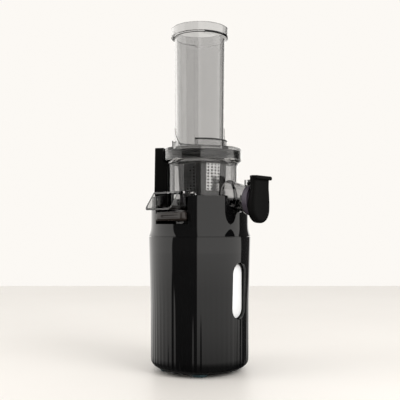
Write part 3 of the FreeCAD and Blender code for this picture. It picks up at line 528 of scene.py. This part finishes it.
# Juice cap: matt black teardrop that closes the spout, hinged at the top on a steel pin, with a
# thumb tab above the hinge.
hinge_y = -72
hinge_height = 211.4


def teardrop(belly, waist, top):
    """Half-widths at the belly, the waist and the top; the outline closes at the bottom."""
    half = arc((0, 182.6 - top * 0.3), belly, -90, -8, 10)
    half += [(belly, 184.5), (belly + 0.1, 188.0), (belly - 0.1, 191.5), (belly * 0.55 + waist * 0.45, 197.5)]
    half += [(waist, 204.0), (waist, 209.5), (waist + 0.4, 213.5), (waist + 0.8, 217.4 - top)]
    return half + [(-x, z) for x, z in reversed(half)][:-1]


matt_black = finish("matt_black", (0.0035, 0.0035, 0.0035), (0.006, 0.006, 0.0057), 0.42, 0.14, 0.3, 1600)
matt_black.node_tree.nodes["Principled BSDF"].inputs["Specular IOR Level"].default_value = 0.05
cap = bmesh.new()
rings = []
cap_layers = ((-76.4, 13.2, 8.8, 0.6), (-77.0, 14.2, 9.8, 0.2), (-78.2, 15.2, 11.6, 0), (-81.0, 15.6, 13.6, 0),
              (-83.8, 15.6, 14.2, 0), (-85.2, 14.9, 13.6, 0.4), (-86.0, 13.4, 12.2, 1.2), (-86.3, 11.0, 10.0, 2.6))
for depth, belly, waist, top in cap_layers:
    rings.append([cap.verts.new((x * mm, depth * mm, z * mm)) for x, z in teardrop(belly, waist, top)])
for before, after in zip(rings, rings[1:]):
    for i in range(len(before)):
        j = (i + 1) % len(before)
        cap.faces.new((before[i], before[j], after[j], after[i]))
cap.faces.new(rings[0])
cap.faces.new(rings[-1])
bmesh.ops.recalc_face_normals(cap, faces=cap.faces)
tab = block((-15.0, -89.2, 213.8), (15.0, -76.6, 218.2), 1.6)
for vert in tab.verts:
    vert.co.x *= 1 - 0.45 * max(0.0, (vert.co.y / mm + 84.0) / 7.4)
    vert.co.z -= 0.7 * mm * max(0.0, (-vert.co.y / mm - 80.0) / 7.0)
cap = carve(cap, tab, "UNION")
cap = carve(cap, rod((-4, hinge_y, hinge_height), (4, hinge_y, hinge_height), 2.5), "UNION")
cap = carve(cap, block((-4, -78, 209.8), (4, hinge_y, 213.6), 0.4), "UNION")
cap = carve(cap, rod((-10, hinge_y, hinge_height), (10, hinge_y, hinge_height), 1.3))
for side in (-1, 1):
    cheek = block((side * 9.9 - 1.1, -78.5, 207.6), (side * 9.9 + 1.1, -73.2, 211.0), 1.0)
    cap = carve(cap, cheek, "UNION")
finish_mesh(cap, "cap_shell", matt_black, "cap", ["juice_cap"], 40)


# Mouth ring: a violet-grey silicone band stretched round the end of the spout. The cap closes
# against it.
grey_silicone = finish("grey_silicone", (0.030, 0.024, 0.036), (0.075, 0.064, 0.083), 0.30, 0.1, 0.1, 900)
band = lathe([(14.2, 0.4), (16.2, 0.0), (16.9, 0.8), (16.9, 5.4), (16.2, 6.2), (15.6, 6.2),
              (15.6, 1.2), (14.2, 1.2)], 96)
bmesh.ops.rotate(band, verts=band.verts, cent=(0, 0, 0), matrix=Matrix.Rotation(math.radians(-90), 3, "X"))
bmesh.ops.translate(band, verts=band.verts, vec=(0, -76.2 * mm, spout_height * mm))
finish_mesh(band, "mouth_band", grey_silicone, "bowl", [], 40)


# Pulp plug: a soft glossy dark plug below the duct. Its bar is the pull, its tongue fills the
# port in the bowl's foot.
dark_silicone = finish("dark_silicone", (0.010, 0.007, 0.006), (0.020, 0.015, 0.012), 0.16, 0.1, 0.1, 500)
dark_silicone.node_tree.nodes["Principled BSDF"].inputs["Specular IOR Level"].default_value = 0.45
plug = block((-6, -66 + bowl_y, 169.4), (35, -57.4 + bowl_y, 179.4), 2.4)
plug = carve(plug, block((-15.5, -58.5 + bowl_y, 169.4), (15.5, -36 + bowl_y, 177.2), 1.0), "UNION")
plug = carve(plug, block((3, -68 + bowl_y, 173.0), (29, -64.8 + bowl_y, 175.8), 0.8))
plug = turn_mesh(plug, pulp_turn, bowl_y)
finish_mesh(plug, "plug_moulding", dark_silicone, "plug", ["pulp_plug"], 40)


# Control: a flat white rocker with rounded edges that fills the recess in the front of the base.
# It rocks on a pin behind it.
white_control = finish("white_control", (0.90, 0.91, 0.92), (0.96, 0.97, 0.98), 0.20, 0.08, 0.03)
def pill(half_width, half_height, depth):
    rise = half_height - half_width
    ends = arc((0, control_height + rise), half_width, 0, 180, 16)
    ends += arc((0, control_height - rise), half_width, 180, 360, 16)
    return [(x, depth, z) for x, z in ends]


rocker = prism(pill(11.0, 30.4, -47.8), (0, -3.4, 0))
front = [face for face in rocker.faces if face.normal.y < -0.9]
rim = list({edge for face in front for edge in face.edges})
bmesh.ops.bevel(rocker, geom=rim, offset=0.7 * mm, segments=3,
                profile=0.5, affect="EDGES", material=-1)
finish_mesh(rocker, "rocker_plate", white_control, "rocker", ["rocker_switch"], 40)


# Interlock tower: matt black hollow post beside the bowl, its inner face follows the bowl. A
# reed switch in its head senses the magnet on the lid.
tower = turn_mesh(block((-10.5, -53.4, 166), (10.5, -30, 254.0), 3.0), 154)
shave = lathe([(51.4, 256), (52.9, 160), (70, 160), (70, 256)], 180)
tower = carve(tower, shave)
room_for_bowl = [(0, 150), (40.8, 150), (40.8, 236.0), (45.3, 239.0), (45.3, 260), (0, 260)]
tower = carve(tower, lathe(room_for_bowl, 180, bowl_y))
finish_mesh(tower, "tower_shell", matt_black, "base", ["interlock_tower"], 35)


# Strainer mesh: six panels of perforated steel, round holes four across and nine high, set into
# the windows of the smoked frame. A hole is a ring of eight corners in its own square cell.
panels = bmesh.new()
mesh_steel = finish("mesh_steel", (0.92, 0.92, 0.91), (0.98, 0.98, 0.97), 0.10, 0.10, 0.05, 2600, 1.0)
windows = 6
columns = 4
rows = 9
low = 203.4
high = 234.2
spread = 35.0
hole_width = 2.4
hole_rise = 1.1


def on_sheet(turn, height, inside):
    """A point on the strainer's cone, from its turn, its height and its depth in the wall."""
    radius = 25.9 + (height - 182.4) * 2.9 / 55.6 - 0.7 - inside
    angle = math.radians(turn)
    return (-math.sin(angle) * radius * mm, (-math.cos(angle) * radius + bowl_y) * mm, height * mm)


for window in range(windows):
    middle = 25 + 360 / windows * window
    for column in range(columns):
        for row in range(rows):
            wide, tall = spread / columns, (high - low) / rows
            turn, height = middle + (column - (columns - 1) / 2) * wide, low + (row + 0.5) * tall
            loops = []
            for inside in (0.0, 0.6):
                edge = [(1, 0), (1, 1), (0, 1), (-1, 1), (-1, 0), (-1, -1), (0, -1), (1, -1)]
                corners = [on_sheet(turn + a * wide / 2, height + b * tall / 2, inside) for a, b in edge]
                outer = [panels.verts.new(corner) for corner in corners]
                inner = []
                for k in range(8):
                    angle = math.radians(45 * k)
                    place = on_sheet(turn + math.cos(angle) * hole_width, height + math.sin(angle) * hole_rise, inside)
                    inner.append(panels.verts.new(place))
                loops.append((outer, inner))
            for k in range(8):
                n = (k + 1) % 8
                (o1, i1), (o2, i2) = loops
                panels.faces.new((o1[k], o1[n], i1[n], i1[k]))
                panels.faces.new((o2[n], o2[k], i2[k], i2[n]))
                panels.faces.new((i1[k], i1[n], i2[n], i2[k]))
bmesh.ops.remove_doubles(panels, verts=panels.verts, dist=1e-5)
bmesh.ops.recalc_face_normals(panels, faces=panels.faces)
finish_mesh(panels, "mesh_panels", mesh_steel, "bowl", ["strainer_mesh"], 30)


# Motor, gears, bearings, seals, screws, feet, auger and strainer frame: the solids show as they
# are, each in its slot's finish. The cord gland is a black moulding in the rubber's slot.
inner_looks = {
    "reed_glass": finish("reed_glass", (0.55, 0.72, 0.60), (0.62, 0.80, 0.68), 0.05, 0.05, 0.02, clear=0.8),
    "foot_rubber": finish("foot_rubber", (0.010, 0.036, 0.044), (0.020, 0.058, 0.070), 0.55, 0.2, 0.4, 1200),
    "screw_steel": finish("screw_steel", (0.45, 0.45, 0.46), (0.6, 0.6, 0.61), 0.25, 0.15, 0.2, 2500, 1.0),
    "board_green": finish("board_green", (0.015, 0.10, 0.04), (0.02, 0.14, 0.06), 0.35, 0.1, 0.2, 700),
    "zinc_steel": finish("zinc_steel", (0.42, 0.43, 0.44), (0.62, 0.63, 0.65), 0.28, 0.2, 0.2, 300, 1.0),
    "magnet_grey": finish("magnet_grey", (0.05, 0.05, 0.055), (0.09, 0.09, 0.095), 0.6, 0.2, 0.5, 1500),
    "carbon": finish("carbon", (0.012, 0.012, 0.012), (0.03, 0.03, 0.03), 0.5, 0.2, 0.4, 2000),
    "bronze": finish("bronze", (0.45, 0.26, 0.10), (0.58, 0.36, 0.16), 0.35, 0.15, 0.3, 2200, 1.0),
    "grey_nylon": finish("grey_nylon", (0.10, 0.10, 0.11), (0.15, 0.15, 0.16), 0.45, 0.15, 0.3, 1400),
    "ground_steel": finish("ground_steel", (0.52, 0.52, 0.53), (0.68, 0.68, 0.69), 0.16, 0.12, 0.1, 2600, 1.0),
    "black_silicone": finish("black_silicone", (0.010, 0.010, 0.010), (0.018, 0.018, 0.018),
                             0.5, 0.2, 0.3, 1300),
    "core_steel": finish("core_steel", (0.20, 0.20, 0.21), (0.32, 0.32, 0.33), 0.4, 0.2, 0.4, 900, 1.0),
    "copper_wire": finish("copper_wire", (0.52, 0.18, 0.06), (0.72, 0.30, 0.12), 0.25, 0.15, 0.8, 2400, 1.0),
    "copper_bars": finish("copper_bars", (0.60, 0.28, 0.14), (0.75, 0.38, 0.20), 0.22, 0.15, 0.2, 2600, 1.0),
    "fan_plastic": finish("fan_plastic", (0.03, 0.03, 0.035), (0.05, 0.05, 0.055), 0.4, 0.1, 0.2, 1200),
    "gear_nylon": finish("gear_nylon", (0.62, 0.60, 0.52), (0.74, 0.72, 0.64), 0.35, 0.15, 0.2, 1200),
    "auger_black": finish("auger_black", (0.010, 0.007, 0.006), (0.020, 0.013, 0.010), 0.22, 0.1, 0.1, 1000),
    "clear_silicone": finish("clear_silicone", (0.55, 0.55, 0.55), (0.62, 0.62, 0.62),
                             0.35, 0.1, 0.1, 900, 0.0, 0.6, 1.41),
    "gloss_black": gloss_black, "smoked_clear": smoked_clear, "smoked_frame": smoked_frame,
    "smoked_tube": smoked_tube, "gloss_black_trim": gloss_black_trim, "matt_black": matt_black,
    "grey_silicone": grey_silicone, "dark_silicone": dark_silicone, "white_control": white_control,
    "mesh_steel": mesh_steel,
}
inner_looks["auger_black"].node_tree.nodes["Principled BSDF"].inputs["Specular IOR Level"].default_value = 0.3
for entry in frame["record"]["subparts"]:
    look = matt_black if entry["node"] == "cord_gland" else inner_looks[entry["material_slot"]]
    cad_piece = frame["nodes"][entry["node"]]
    cad_piece.data.materials.clear()
    cad_piece.data.materials.append(look)
